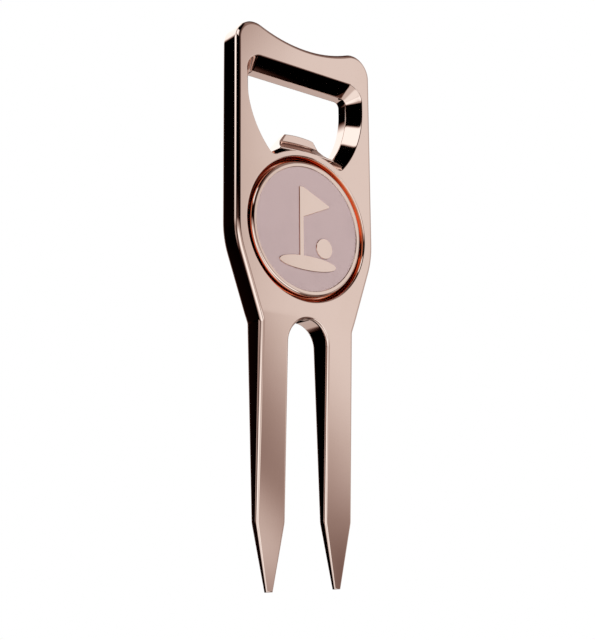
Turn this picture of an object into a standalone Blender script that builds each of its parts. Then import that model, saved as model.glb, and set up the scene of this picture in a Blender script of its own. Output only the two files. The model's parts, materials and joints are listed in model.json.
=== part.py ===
"""Divot repair tool: a cast body with a bottle opener, a marker seat and two prongs,
and a ball marker held in the seat by a magnet.

The tool stands upright. +Z runs up from the prong tips to the opener, +X is to the right,
and the front face, with the marker, looks along -Y. Sizes are in metres. The origin is
midway between the prong tips, at their ends, halfway through the thickness.
"""

import math

import bmesh
import bpy
from mathutils import Vector

# Body, seen from the front.
OVERALL_LENGTH = 0.0958
THICKNESS = 0.0045
SEAT_DROP = 0.0350
HEAD_WALL = 0.00195
HORN_RADIUS = 0.0039
SCOOP_DEPTH = 0.0020
EDGE_RADIUS = 0.0008
SLOT_EDGE_RADIUS = 0.0005
THIN_EDGE_SHARE = 0.55

# Taper from the head down to the prongs.
TAPER_DROP = 0.0033
TAPER_LENGTH = 0.0138
TAPER_BEND_RADIUS = 0.0160
TAPER_FOOT_RADIUS = 0.0010

# Prongs. They thin from the crease to the shoulder, then faster to the tip.
SLOT_WIDTH = 0.0083
PRONG_WIDTH = 0.0059
SLOT_TOP_DROP = 0.0159
CREASE_DROP = 0.0153
TIP_LENGTH = 0.0110
TIP_WIDTH = 0.0013
SHOULDER_THICKNESS = 0.0016
TIP_THICKNESS = 0.0010
SHOULDER_RADIUS = 0.0040

# Marker, its seat and the magnet behind it.
MARKER_DIAMETER = 0.0240
MARKER_THICKNESS = 0.0015
MARKER_EDGE_RADIUS = 0.00025
SEAT_SIDE_GAP = 0.00085
SEAT_LIP = 0.0002
RING_WIDTH = 0.0008
REST_GAP = 0.0003
MAGNET_DIAMETER = 0.0100
MAGNET_THICKNESS = 0.0010
ADHESIVE_THICKNESS = 0.0002
MAGNET_SIDE_GAP = 0.0003

# Marker face: a sunk field filled with enamel, and a raised golf flag on it. The flag's sizes
# are drawn for a field of the radius EMBLEM_FIELD, and follow the field from there.
RIM_WIDTH = 0.00105
ENAMEL_BELOW_RIM = 0.0002
ENAMEL_THICKNESS = 0.0003
ENAMEL_GAP = 0.0003
EMBLEM_FOOT = 0.0002
EMBLEM_FIELD = 0.01095
POLE_X = -0.0014
POLE_WIDTH = 0.0009
POLE_FOOT = -0.0058
POLE_TOP = 0.0074
PENNANT_LENGTH = 0.0066
PENNANT_HEIGHT = 0.0054
BALL_RADIUS = 0.0018
BALL_X = 0.0036
BALL_Z = -0.0030
GREEN_HALF_LENGTH = 0.0062
GREEN_HALF_HEIGHT = 0.0013
GREEN_Z = -0.0061

# Opener window, inside a side wall and under a top bar.
WINDOW_WALL = 0.0022
TOP_BAR = 0.0040
WINDOW_CORNER_RADIUS = 0.0030
WINDOW_SIDE_LENGTH = 0.0016
WINDOW_SIDE_RADIUS = 0.0174
WINDOW_LOBE_RADIUS = 0.0013
CHAMFER_TOP_WIDTH = 0.00195
CHAMFER_SIDE_WIDTH = 0.0017
CHAMFER_DEPTH = 0.0026

# Pry tab at the bottom of the window: a thin lip on a hollowed ramp, slightly arched.
RAMP_RISE = 0.0020
TAB_FACE_HEIGHT = 0.0015
TAB_ARCH = 0.00025
TAB_TOP_HALF_WIDTH = 0.0032
TAB_SIDE_SLOPE = 0.75
TAB_FRONT_Y = 0.0001
TAB_THICKNESS = 0.0011
RAMP_HOLLOW = 0.0003

ARC_STEP = math.radians(7.5)
EDGE_STEPS = 3
WINDOW_ARC_STEPS = 8
TURNED_STEPS = 72
MAGNET_STEPS = 48
SMALL_ROUND_STEPS = 32
TAB_STEPS = 6
OVERCUT = 0.0010
# Where the middle of a rounding of one unit lies, from both faces beside it.
EASED_SHARE = 1 - math.sqrt(0.5)

FRONT = -THICKNESS / 2
BACK = THICKNESS / 2
SEAT_RADIUS = MARKER_DIAMETER / 2 + SEAT_SIDE_GAP
SEAT_DEPTH = MARKER_THICKNESS + REST_GAP
SEAT_FLOOR = FRONT + SEAT_DEPTH
MAGNET_POCKET_DEPTH = ADHESIVE_THICKNESS + MAGNET_THICKNESS + 2 * REST_GAP
MAGNET_POCKET_FLOOR = SEAT_FLOOR + MAGNET_POCKET_DEPTH
RING_RADIUS = SEAT_RADIUS + SEAT_LIP + RING_WIDTH
SEAT_HEIGHT = OVERALL_LENGTH - SEAT_DROP
HEAD_WIDTH = 2 * (SEAT_RADIUS + SEAT_LIP + HEAD_WALL)
# The window's and the tab's places are measured from the seat's centre.
WINDOW_HALF_WIDTH = HEAD_WIDTH / 2 - WINDOW_WALL
WINDOW_TOP = SEAT_DROP - SCOOP_DEPTH - TOP_BAR
TAB_STEP = RING_RADIUS + RAMP_RISE
TAB_TOP = TAB_STEP + TAB_FACE_HEIGHT
FIELD_RADIUS = MARKER_DIAMETER / 2 - RIM_WIDTH
FIELD_DEPTH = ENAMEL_BELOW_RIM + ENAMEL_THICKNESS + ENAMEL_GAP
CREASE_HEIGHT = SEAT_HEIGHT - CREASE_DROP
PRONG_OUTER = SLOT_WIDTH / 2 + PRONG_WIDTH
PRONG_CENTRE = (SLOT_WIDTH + PRONG_WIDTH) / 2


# Outlines are lists of (x, z) points.

def arc(centre, radius, start, end, steps=0):
    """Points on an arc, from the angle start to end, both included, in radians from +X."""
    steps = steps or max(2, math.ceil(abs(end - start) / ARC_STEP))
    turns = [start + (end - start) * k / steps for k in range(steps + 1)]
    return [(centre[0] + radius * math.cos(t), centre[1] + radius * math.sin(t)) for t in turns]


def rounded_corner(before, corner, after, radius):
    """Points of a fillet at a corner between two straight runs."""
    corner = Vector(corner)
    to_before = (Vector(before) - corner).normalized()
    to_after = (Vector(after) - corner).normalized()
    half = to_before.angle(to_after) / 2
    start = corner + to_before * radius / math.tan(half)
    centre = corner + (to_before + to_after).normalized() * radius / math.sin(half)
    first = start - centre
    sweep = math.pi - 2 * half
    if to_before.cross(to_after) > 0:
        sweep = -sweep
    start_angle = math.atan2(first.y, first.x)
    return arc(centre, radius, start_angle, start_angle + sweep)


def mirrored(half):
    """A closed outline from its right half, which runs from one point on the centre line to another."""
    left = [(-x, z) for x, z in reversed(half[1:-1])]
    return half + left


def distinct(points):
    """The outline without points that fall on the one before."""
    kept = []
    for point in points:
        if not kept or (Vector(point) - Vector(kept[-1])).length > 1e-6:
            kept.append(point)
    if (Vector(kept[0]) - Vector(kept[-1])).length <= 1e-6:
        kept.pop()
    return kept


def half_thickness(z):
    """Half the body's thickness at a height: full above the crease, then two straight tapers."""
    if z >= CREASE_HEIGHT:
        return THICKNESS / 2
    if z >= TIP_LENGTH:
        share = (z - TIP_LENGTH) / (CREASE_HEIGHT - TIP_LENGTH)
        return (SHOULDER_THICKNESS + (THICKNESS - SHOULDER_THICKNESS) * share) / 2
    share = max(0.0, z / TIP_LENGTH)
    return (TIP_THICKNESS + (SHOULDER_THICKNESS - TIP_THICKNESS) * share) / 2


def body_half_outline():
    """The body's right half, clockwise from the middle of the scoop to the middle of the slot."""
    half_width = HEAD_WIDTH / 2
    horn = (half_width - HORN_RADIUS, OVERALL_LENGTH - HORN_RADIUS)
    scoop_bottom = OVERALL_LENGTH - SCOOP_DEPTH
    rise = scoop_bottom - horn[1]
    scoop_radius = (horn[0] ** 2 + rise ** 2 - HORN_RADIUS ** 2) / (2 * (HORN_RADIUS - rise))
    scoop = (0.0, scoop_bottom + scoop_radius)
    toward_horn = math.atan2(horn[1] - scoop[1], horn[0])
    points = arc(scoop, scoop_radius, -math.pi / 2, toward_horn)
    points += arc(horn, HORN_RADIUS, toward_horn + math.pi, 0.0)

    bend = (half_width, SEAT_HEIGHT - TAPER_DROP)
    foot = (PRONG_OUTER, bend[1] - TAPER_LENGTH)
    shoulder = (PRONG_OUTER, TIP_LENGTH)
    tip_outer = (PRONG_CENTRE + TIP_WIDTH / 2, 0.0)
    tip_inner = (PRONG_CENTRE - TIP_WIDTH / 2, 0.0)
    inner_shoulder = (SLOT_WIDTH / 2, TIP_LENGTH)
    slot = (0.0, SEAT_HEIGHT - SLOT_TOP_DROP - SLOT_WIDTH / 2)
    slot_side = (SLOT_WIDTH / 2, slot[1])
    points += rounded_corner((half_width, horn[1]), bend, foot, TAPER_BEND_RADIUS)
    points += rounded_corner(bend, foot, shoulder, TAPER_FOOT_RADIUS)
    points += rounded_corner(foot, shoulder, tip_outer, SHOULDER_RADIUS)
    points += [tip_outer, tip_inner]
    points += rounded_corner(tip_inner, inner_shoulder, slot_side, SHOULDER_RADIUS)
    points += arc(slot, SLOT_WIDTH / 2, 0.0, math.pi / 2)
    return points


def edge_radius(point):
    """The rounding of the body's edge at an outline point: less in the slot, and less where it is thin."""
    x, z = point
    below_slot_top = z <= SEAT_HEIGHT - SLOT_TOP_DROP + 1e-6
    in_slot = below_slot_top and abs(x) < PRONG_CENTRE
    wanted = SLOT_EDGE_RADIUS if in_slot else EDGE_RADIUS
    return min(wanted, THIN_EDGE_SHARE * half_thickness(z))


def inward_normals(points):
    """For each point of a clockwise outline, the inward step that moves both its sides in by one unit."""
    steps = []
    count = len(points)
    for k in range(count):
        here = Vector(points[k])
        before = (here - Vector(points[k - 1])).normalized()
        after = (Vector(points[(k + 1) % count]) - here).normalized()
        side_before = Vector((before.y, -before.x))
        side_after = Vector((after.y, -after.x))
        middle = (side_before + side_after).normalized()
        steps.append(middle / middle.dot(side_after))
    return steps


# Meshes.

def add_object(name, mesh, material=None):
    obj = bpy.data.objects.new(name, mesh)
    bpy.context.scene.collection.objects.link(obj)
    if material:
        mesh.materials.append(material)
    mesh.shade_smooth()
    mesh.set_sharp_from_angle(angle=math.radians(30))
    return obj


def mesh_from(bm, name):
    bmesh.ops.recalc_face_normals(bm, faces=bm.faces)
    mesh = bpy.data.meshes.new(name)
    bm.to_mesh(mesh)
    bm.free()
    return mesh


def bridge(bm, ring, following):
    count = len(ring)
    for k in range(count):
        after = (k + 1) % count
        bm.faces.new((ring[k], ring[after], following[after], following[k]))


def loft_rings(bm, rings):
    loops = [[bm.verts.new(point) for point in ring] for ring in rings]
    for ring, following in zip(loops, loops[1:]):
        bridge(bm, ring, following)
    bm.faces.new(loops[0])
    bm.faces.new(reversed(loops[-1]))


def loft(name, rings):
    """A closed solid through rings of (x, y, z) points, capped at both ends."""
    bm = bmesh.new()
    loft_rings(bm, rings)
    return mesh_from(bm, name)


def prism(name, outline, front, back, lift=0.0):
    """A straight solid with the given (x, z) outline, from y = front to y = back."""
    rings = [[(x, y, z + lift) for x, z in outline] for y in (front, back)]
    return loft(name, rings)


def turned(name, profile, segments=TURNED_STEPS):
    """A solid turned about the seat's axis from (radius, y) points that start and end on the axis."""
    rings = []
    for radius, y in profile[1:-1]:
        turns = [2 * math.pi * k / segments for k in range(segments)]
        rings.append([(radius * math.cos(t), y, SEAT_HEIGHT + radius * math.sin(t)) for t in turns])
    return loft(name, rings)


def cut(target, cutter, operation="DIFFERENCE"):
    """Applies a helper solid to a piece with an exact Boolean."""
    cutter.hide_render = True
    cutter.display_type = "WIRE"
    modifier = target.modifiers.new(cutter.name, "BOOLEAN")
    modifier.operation = operation
    modifier.solver = "EXACT"
    modifier.object = cutter


def finish_material(name, colour, roughness, metallic):
    material = bpy.data.materials.new(name)
    material.use_nodes = True
    shader = material.node_tree.nodes["Principled BSDF"]
    shader.inputs["Base Color"].default_value = (*colour, 1.0)
    shader.inputs["Roughness"].default_value = roughness
    shader.inputs["Metallic"].default_value = metallic
    material.diffuse_color = (*colour, 1.0)
    return material


# Body.

def body_ring(points, steps, turn, side):
    """One ring of the rounded edge. turn runs from 0 on the side wall to a right angle on the face."""
    ring = []
    for point, step in zip(points, steps):
        radius = edge_radius(point)
        inset = radius * (1 - math.cos(turn))
        x, z = Vector(point) + step * inset
        y = THICKNESS / 2 - radius * (1 - math.sin(turn))
        ring.append((x, side * y, z))
    return ring


def thin_out(bm):
    """Brings the faces together below the crease, after an edge loop at each height where they bend."""
    for height in (CREASE_HEIGHT, TIP_LENGTH):
        geometry = list(bm.verts) + list(bm.edges) + list(bm.faces)
        bmesh.ops.bisect_plane(bm, geom=geometry, dist=1e-7, plane_co=(0, 0, height), plane_no=(0, 0, 1))
    for vert in bm.verts:
        sink = THICKNESS / 2 - half_thickness(vert.co.z)
        vert.co.y -= math.copysign(sink, vert.co.y)


def body_blank(name):
    """The casting without its window and seat: a plate with rounded edges and tapering prongs."""
    points = distinct(mirrored(body_half_outline()))
    steps = inward_normals(points)
    turns = [math.pi / 2 * k / EDGE_STEPS for k in range(EDGE_STEPS + 1)]
    rings = [body_ring(points, steps, turn, -1) for turn in reversed(turns)]
    rings += [body_ring(points, steps, turn, 1) for turn in turns]
    bm = bmesh.new()
    loft_rings(bm, rings)
    thin_out(bm)
    return mesh_from(bm, name)


def circles_meet(centre_a, radius_a, centre_b, radius_b):
    """The crossing of two circles that lies to the left of the way from the first centre to the second."""
    a, b = Vector(centre_a), Vector(centre_b)
    apart = (b - a).length
    along = (radius_a ** 2 - radius_b ** 2 + apart ** 2) / (2 * apart)
    across = math.sqrt(radius_a ** 2 - along ** 2)
    direction = (b - a) / apart
    return a + direction * along + Vector((-direction.y, direction.x)) * across


def window_half_outline(share):
    """The window's right half, from its top's middle to the seat ring's, moved in by a share of the chamfer."""
    top_inset = share * CHAMFER_TOP_WIDTH
    side_inset = share * CHAMFER_SIDE_WIDTH
    top = WINDOW_TOP - top_inset
    half_width = WINDOW_HALF_WIDTH - side_inset
    corner_radius = WINDOW_CORNER_RADIUS - side_inset
    side_radius = WINDOW_SIDE_RADIUS - side_inset
    corner = (half_width - corner_radius, top - corner_radius)
    side_foot = WINDOW_TOP - WINDOW_CORNER_RADIUS - WINDOW_SIDE_LENGTH
    side = (half_width - side_radius, side_foot)
    to_lobe = side_radius - WINDOW_LOBE_RADIUS
    lobe = circles_meet(side, to_lobe, (0, 0), RING_RADIUS + WINDOW_LOBE_RADIUS)
    points = [(0.0, top)]
    points += arc(corner, corner_radius, math.pi / 2, 0.0, WINDOW_ARC_STEPS)
    side_end = math.atan2(lobe.y - side[1], lobe.x - side[0])
    points += arc(side, side_radius, 0.0, side_end, WINDOW_ARC_STEPS)
    lobe_end = math.atan2(-lobe.y, -lobe.x)
    points += arc(lobe, WINDOW_LOBE_RADIUS, side_end, lobe_end, WINDOW_ARC_STEPS)[1:]
    ring_start = math.atan2(lobe.y, lobe.x)
    points += arc((0, 0), RING_RADIUS, ring_start, math.pi / 2, WINDOW_ARC_STEPS)[1:]
    return points


def window_ring(share, y):
    return [(x, y, z + SEAT_HEIGHT) for x, z in mirrored(window_half_outline(share))]


def window_cutter(name):
    """The window: a wide chamfer on the front, then straight through."""
    chamfer_end = FRONT + CHAMFER_DEPTH
    rings = [
        window_ring(-OVERCUT / CHAMFER_DEPTH, FRONT - OVERCUT),
        window_ring(1.0, chamfer_end),
        window_ring(1.0, BACK + OVERCUT),
    ]
    return loft(name, rings)


def tab_profile():
    """The tab and its ramp from the side, as (y, z) points: up the hollowed ramp, over the lip, down behind."""
    root = SEAT_RADIUS + SEAT_LIP + RING_WIDTH / 2
    profile = [(FRONT, root)]
    for k in range(TAB_STEPS + 1):
        share = k / TAB_STEPS
        y = FRONT + (TAB_FRONT_Y - FRONT) * share
        z = RING_RADIUS + (TAB_STEP - RING_RADIUS) * share
        profile.append((y, z - 4 * RAMP_HOLLOW * share * (1 - share)))
    profile.append((TAB_FRONT_Y, TAB_TOP))
    profile.append((TAB_FRONT_Y + TAB_THICKNESS, TAB_TOP))
    profile.append((BACK, RING_RADIUS))
    profile.append((BACK, root))
    return profile


def tab_solid(name):
    """The pry tab on its ramp, wider at its root and lower at its ends."""
    rings = []
    for k in range(TAB_STEPS + 1):
        across = 2 * k / TAB_STEPS - 1
        ring = []
        for y, z in tab_profile():
            half_width = TAB_TOP_HALF_WIDTH + (TAB_TOP - z) * TAB_SIDE_SLOPE
            ring.append((across * half_width, y, z - TAB_ARCH * across ** 2 + SEAT_HEIGHT))
        rings.append(ring)
    return loft(name, rings)


def seat_cutter(name):
    """The marker's seat with its eased lip, and the magnet's pocket in the seat's floor."""
    eased = SEAT_LIP * EASED_SHARE
    profile = [
        (0.0, FRONT - OVERCUT),
        (SEAT_RADIUS + SEAT_LIP, FRONT - OVERCUT),
        (SEAT_RADIUS + SEAT_LIP, FRONT),
        (SEAT_RADIUS + eased, FRONT + eased),
        (SEAT_RADIUS, FRONT + SEAT_LIP),
        (SEAT_RADIUS, SEAT_FLOOR),
        (MAGNET_DIAMETER / 2 + MAGNET_SIDE_GAP, SEAT_FLOOR),
        (MAGNET_DIAMETER / 2 + MAGNET_SIDE_GAP, MAGNET_POCKET_FLOOR),
        (0.0, MAGNET_POCKET_FLOOR),
    ]
    return turned(name, profile)


def make_tool_body(material):
    body = add_object("tool_body", body_blank("tool_body"), material)
    cut(body, add_object("window_cutter", window_cutter("window_cutter")))
    cut(body, add_object("pry_tab", tab_solid("pry_tab")), "UNION")
    cut(body, add_object("seat_cutter", seat_cutter("seat_cutter")))
    return body


# Magnet.

def make_magnet(magnet_material, adhesive_material):
    radius = MAGNET_DIAMETER / 2
    back = MAGNET_POCKET_FLOOR - REST_GAP
    front = back - ADHESIVE_THICKNESS
    profile = [(0, front), (radius, front), (radius, back), (0, back)]
    film = turned("magnet_adhesive", profile, MAGNET_STEPS)
    add_object("magnet_adhesive", film, adhesive_material)
    back = front - REST_GAP
    front = back - MAGNET_THICKNESS
    profile = [(0, front), (radius, front), (radius, back), (0, back)]
    disc = turned("seat_magnet", profile, MAGNET_STEPS)
    add_object("seat_magnet", disc, magnet_material)


# Marker.

def emblem_outlines(gap):
    """The raised golf flag: pole, pennant, green and ball, each moved out by a gap."""
    scale = FIELD_RADIUS / EMBLEM_FIELD
    grow = gap / scale
    pole = [
        (POLE_X - POLE_WIDTH / 2 - grow, POLE_FOOT),
        (POLE_X - POLE_WIDTH / 2 - grow, POLE_TOP + grow),
        (POLE_X + POLE_WIDTH / 2 + grow, POLE_TOP + grow),
        (POLE_X + POLE_WIDTH / 2 + grow, POLE_FOOT),
    ]
    slope = math.atan2(PENNANT_HEIGHT / 2, PENNANT_LENGTH)
    above = grow / math.cos(slope)
    ahead = grow / math.sin(slope)
    middle = POLE_TOP - PENNANT_HEIGHT / 2
    pennant = [
        (POLE_X, POLE_TOP + above),
        (POLE_X + PENNANT_LENGTH + ahead, middle),
        (POLE_X, POLE_TOP - PENNANT_HEIGHT - above),
    ]
    turns = [2 * math.pi * k / SMALL_ROUND_STEPS for k in range(SMALL_ROUND_STEPS)]
    green = [
        (
            (GREEN_HALF_LENGTH + grow) * math.cos(t),
            GREEN_Z + (GREEN_HALF_HEIGHT + grow) * math.sin(t),
        )
        for t in turns
    ]
    ball = [
        (BALL_X + (BALL_RADIUS + grow) * math.cos(t), BALL_Z + (BALL_RADIUS + grow) * math.sin(t))
        for t in turns
    ]
    shapes = {"pole": pole, "pennant": pennant, "green": green, "ball": ball}
    return {name: [(x * scale, z * scale) for x, z in shape] for name, shape in shapes.items()}


def make_marker(marker_material, enamel_material):
    """The marker in its seat, its rim flush with the body's face. Its origin is on the slide's axis."""
    radius = MARKER_DIAMETER / 2
    edge = MARKER_EDGE_RADIUS
    back = FRONT + MARKER_THICKNESS
    field = FRONT + FIELD_DEPTH
    profile = [
        (0.0, field),
        (FIELD_RADIUS, field),
        (FIELD_RADIUS, FRONT),
        (radius - edge, FRONT),
        (radius - edge * EASED_SHARE, FRONT + edge * EASED_SHARE),
        (radius, FRONT + edge),
        (radius, back - edge),
        (radius - edge, back),
        (0.0, back),
    ]
    marker = add_object("ball_marker", turned("ball_marker", profile), marker_material)
    for name, outline in emblem_outlines(0.0).items():
        foot = field + EMBLEM_FOOT
        solid = prism("emblem_" + name, outline, FRONT, foot, SEAT_HEIGHT)
        cut(marker, add_object("emblem_" + name, solid), "UNION")

    enamel_front = FRONT + ENAMEL_BELOW_RIM
    enamel_back = enamel_front + ENAMEL_THICKNESS
    enamel_radius = FIELD_RADIUS - ENAMEL_GAP
    disc = [
        (0.0, enamel_front),
        (enamel_radius, enamel_front),
        (enamel_radius, enamel_back),
        (0.0, enamel_back),
    ]
    enamel = add_object("marker_enamel", turned("marker_enamel", disc), enamel_material)
    for name, outline in emblem_outlines(ENAMEL_GAP).items():
        solid = prism("opening_" + name, outline, enamel_front - OVERCUT, enamel_back + OVERCUT, SEAT_HEIGHT)
        cut(enamel, add_object("opening_" + name, solid))
    return marker, enamel


def put_on_axis(pieces, name, location):
    """Hangs the pieces from an empty on their joint's axis, leaving them where they are."""
    axis = bpy.data.objects.new(name, None)
    axis.location = location
    bpy.context.scene.collection.objects.link(axis)
    for piece in pieces:
        piece.parent = axis
        piece.matrix_parent_inverse.translation = -Vector(location)


def main():
    for obj in list(bpy.data.objects):
        bpy.data.objects.remove(obj, do_unlink=True)
    rose_gold = finish_material("polished_rose_gold", (0.78, 0.55, 0.46), 0.06, 1.0)
    marker_gold = finish_material("polished_marker", (0.80, 0.58, 0.49), 0.12, 1.0)
    enamel_pink = finish_material("matt_enamel", (0.50, 0.38, 0.37), 0.60, 0.0)
    nickel = finish_material("nickel_plate", (0.66, 0.65, 0.62), 0.25, 1.0)
    epoxy = finish_material("clear_epoxy", (0.72, 0.66, 0.50), 0.40, 0.0)
    make_tool_body(rose_gold)
    make_magnet(nickel, epoxy)
    marker_pieces = make_marker(marker_gold, enamel_pink)
    put_on_axis(marker_pieces, "marker_axis", (0.0, FRONT, SEAT_HEIGHT))


main()
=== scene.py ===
# %% [markdown]
# # A divot repair tool, cell by cell
# The object is a pocket tool for golf: a flat cast body with a bottle opener at its head, two
# prongs that lift a pitch mark, and a ball marker that a magnet holds in a round seat. It is
# polished and plated in rose gold, so almost everything that the eye sees is a reflection. The
# lesson follows from that. The surfaces have to be truly flat or truly round, and the lights matter
# as much as the metal.
#
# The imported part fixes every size. This script keeps its places and builds the fine surface.

# %% Load the frame and measure it
import json
import math

import bmesh
import bpy
from mathutils import Matrix, Vector
from mathutils.geometry import tessellate_polygon


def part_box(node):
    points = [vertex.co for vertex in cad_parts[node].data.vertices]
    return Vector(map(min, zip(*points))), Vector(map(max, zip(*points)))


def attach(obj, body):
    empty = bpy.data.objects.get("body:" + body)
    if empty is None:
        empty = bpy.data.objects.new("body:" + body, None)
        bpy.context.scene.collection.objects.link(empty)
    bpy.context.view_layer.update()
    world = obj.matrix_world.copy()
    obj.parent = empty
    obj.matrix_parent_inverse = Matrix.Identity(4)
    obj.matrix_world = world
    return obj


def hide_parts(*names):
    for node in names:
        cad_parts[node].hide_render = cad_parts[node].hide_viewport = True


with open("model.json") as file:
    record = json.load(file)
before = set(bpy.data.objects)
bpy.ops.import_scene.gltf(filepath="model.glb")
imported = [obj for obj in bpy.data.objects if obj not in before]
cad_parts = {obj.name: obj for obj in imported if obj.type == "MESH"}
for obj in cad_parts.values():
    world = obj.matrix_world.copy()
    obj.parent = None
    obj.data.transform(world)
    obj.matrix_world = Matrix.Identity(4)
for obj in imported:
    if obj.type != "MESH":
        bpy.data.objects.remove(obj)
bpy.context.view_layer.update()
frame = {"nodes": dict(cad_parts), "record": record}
body_low, body_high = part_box("tool_body")
marker_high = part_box("ball_marker")[1]
enamel_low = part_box("marker_enamel")[0]
mounts = {mount["name"]: mount for mount in frame["record"]["mounts"]}
SEAT_Z = mounts["back_face"]["pos_m"][2]
LENGTH = body_high.z
HALF_WIDTH = body_high.x
FRONT = body_low.y
BACK = body_high.y
MARKER_RADIUS = marker_high.x
print("body", [round(1000 * side, 2) for side in body_high - body_low], "mm, seat at", SEAT_Z)

# %% [markdown]
# ## Outlines
# The body is a plate, so its shape is a flat outline first. On the real object the outline is a
# few straight runs and arcs: a shallow scoop on top, two round horns, straight sides, a taper, two
# prongs and a round-topped slot. It could be traced as one free curve, but a curve wobbles, and a
# wobble shows at once in polished metal. So each run is computed from its own sizes.

# %% Helpers for outlines of (x, z) points
FINE_STEP = math.radians(2.5)


def arc(centre, radius, start, end, steps=0):
    """Points on an arc between two angles, both included."""
    steps = steps or max(3, math.ceil(abs(end - start) / FINE_STEP))
    turns = [start + (end - start) * k / steps for k in range(steps + 1)]
    return [(centre[0] + radius * math.cos(t), centre[1] + radius * math.sin(t)) for t in turns]


def rounded_corner(before, corner, after, radius):
    """Points of a fillet at a corner between two straight runs."""
    corner = Vector(corner)
    to_before = (Vector(before) - corner).normalized()
    to_after = (Vector(after) - corner).normalized()
    half = to_before.angle(to_after) / 2
    centre = corner + (to_before + to_after).normalized() * radius / math.sin(half)
    first = corner + to_before * radius / math.tan(half) - centre
    sweep = math.pi - 2 * half
    if to_before.cross(to_after) > 0:
        sweep = -sweep
    start = math.atan2(first.y, first.x)
    return arc(centre, radius, start, start + sweep)


def mirrored(half):
    """A closed outline from its right half, which starts and ends on the centre line."""
    return half + [(-x, z) for x, z in reversed(half[1:-1])]


def distinct(points, least=1e-6):
    """The outline without points that fall on the one before."""
    kept = []
    for point in points:
        if not kept or (Vector(point) - Vector(kept[-1])).length > least:
            kept.append(point)
    if (Vector(kept[0]) - Vector(kept[-1])).length <= least:
        kept.pop()
    return kept


def inward_steps(points):
    """For each point of a clockwise outline, the step that moves its two sides in by one unit."""
    steps = []
    for k, point in enumerate(points):
        before = (Vector(point) - Vector(points[k - 1])).normalized()
        after = (Vector(points[(k + 1) % len(points)]) - Vector(point)).normalized()
        side_after = Vector((after.y, -after.x))
        middle = (Vector((before.y, -before.x)) + side_after).normalized()
        steps.append(middle / middle.dot(side_after))
    return steps


def moved_in(points, distance):
    """The outline with its sides moved in by a distance, or out if the distance is negative."""
    return [tuple(Vector(p) + step * distance) for p, step in zip(points, inward_steps(points))]


# %% Sizes of the body's outline, as in the part's own design
HORN_RADIUS = 0.0039
SCOOP_DEPTH = 0.0020
TAPER_DROP = 0.0033
TAPER_LENGTH = 0.0138
TAPER_BEND_RADIUS = 0.0160
TAPER_FOOT_RADIUS = 0.0010
SLOT_WIDTH = 0.0083
PRONG_WIDTH = 0.0059
SLOT_TOP_DROP = 0.0159
TIP_LENGTH = 0.0110
TIP_WIDTH = 0.0013
SHOULDER_RADIUS = 0.0040
PRONG_OUTER = SLOT_WIDTH / 2 + PRONG_WIDTH
PRONG_CENTRE = (SLOT_WIDTH + PRONG_WIDTH) / 2


def body_outline():
    """The body's closed outline, clockwise from the middle of the scoop."""
    horn = (HALF_WIDTH - HORN_RADIUS, LENGTH - HORN_RADIUS)
    scoop_bottom = LENGTH - SCOOP_DEPTH
    rise = scoop_bottom - horn[1]
    scoop_radius = (horn[0] ** 2 + rise ** 2 - HORN_RADIUS ** 2) / (2 * (HORN_RADIUS - rise))
    scoop = (0.0, scoop_bottom + scoop_radius)
    to_horn = math.atan2(horn[1] - scoop[1], horn[0])
    bend = (HALF_WIDTH, SEAT_Z - TAPER_DROP)
    foot = (PRONG_OUTER, bend[1] - TAPER_LENGTH)
    shoulder = (PRONG_OUTER, TIP_LENGTH)
    tip_outer = (PRONG_CENTRE + TIP_WIDTH / 2, 0.0)
    tip_inner = (PRONG_CENTRE - TIP_WIDTH / 2, 0.0)
    inner_shoulder = (SLOT_WIDTH / 2, TIP_LENGTH)
    slot = (0.0, SEAT_Z - SLOT_TOP_DROP - SLOT_WIDTH / 2)
    points = arc(scoop, scoop_radius, -math.pi / 2, to_horn)
    points += arc(horn, HORN_RADIUS, to_horn + math.pi, 0.0)
    points += rounded_corner((HALF_WIDTH, horn[1]), bend, foot, TAPER_BEND_RADIUS)
    points += rounded_corner(bend, foot, shoulder, TAPER_FOOT_RADIUS)
    points += rounded_corner(foot, shoulder, tip_outer, SHOULDER_RADIUS)
    points += [tip_outer, tip_inner]
    points += rounded_corner(tip_inner, inner_shoulder, (SLOT_WIDTH / 2, slot[1]), SHOULDER_RADIUS)
    points += arc(slot, SLOT_WIDTH / 2, 0.0, math.pi / 2)
    return distinct(mirrored(points))


OUTLINE = body_outline()
print("body outline:", len(OUTLINE), "points")

# %% [markdown]
# ## The opener window
# The window is a hole with a wide chamfer on the front, cut straight from there to the back. Its
# lower side is the rim around the marker's seat, and small round lobes join that rim to the sides.
# A Boolean would cut it, but it leaves long thin faces that spoil the shading of the polished face.
# So the window is a set of rings with the same number of points, from the front edge to the back.

# %% The window's outline at any depth of its chamfer
WINDOW_WALL = 0.0021
TOP_BAR = 0.0040
WINDOW_CORNER_RADIUS = 0.0030
WINDOW_SIDE_LENGTH = 0.0016
WINDOW_SIDE_RADIUS = 0.0174
WINDOW_LOBE_RADIUS = 0.0013
CHAMFER_TOP_WIDTH = 0.00205
CHAMFER_SIDE_WIDTH = 0.0019
CHAMFER_DEPTH = 0.0024
CHAMFER_HOLLOW = 0.00006
CHAMFER_STEPS = 8
WINDOW_STEPS = 24
SEAT_GAP = 0.00085
SEAT_LIP = 0.0002
RING_WIDTH = 0.0008
SEAT_RADIUS = MARKER_RADIUS + SEAT_GAP
RING_RADIUS = SEAT_RADIUS + SEAT_LIP + RING_WIDTH
WINDOW_HALF = HALF_WIDTH - WINDOW_WALL
WINDOW_TOP = LENGTH - SEAT_Z - SCOOP_DEPTH - TOP_BAR


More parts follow.
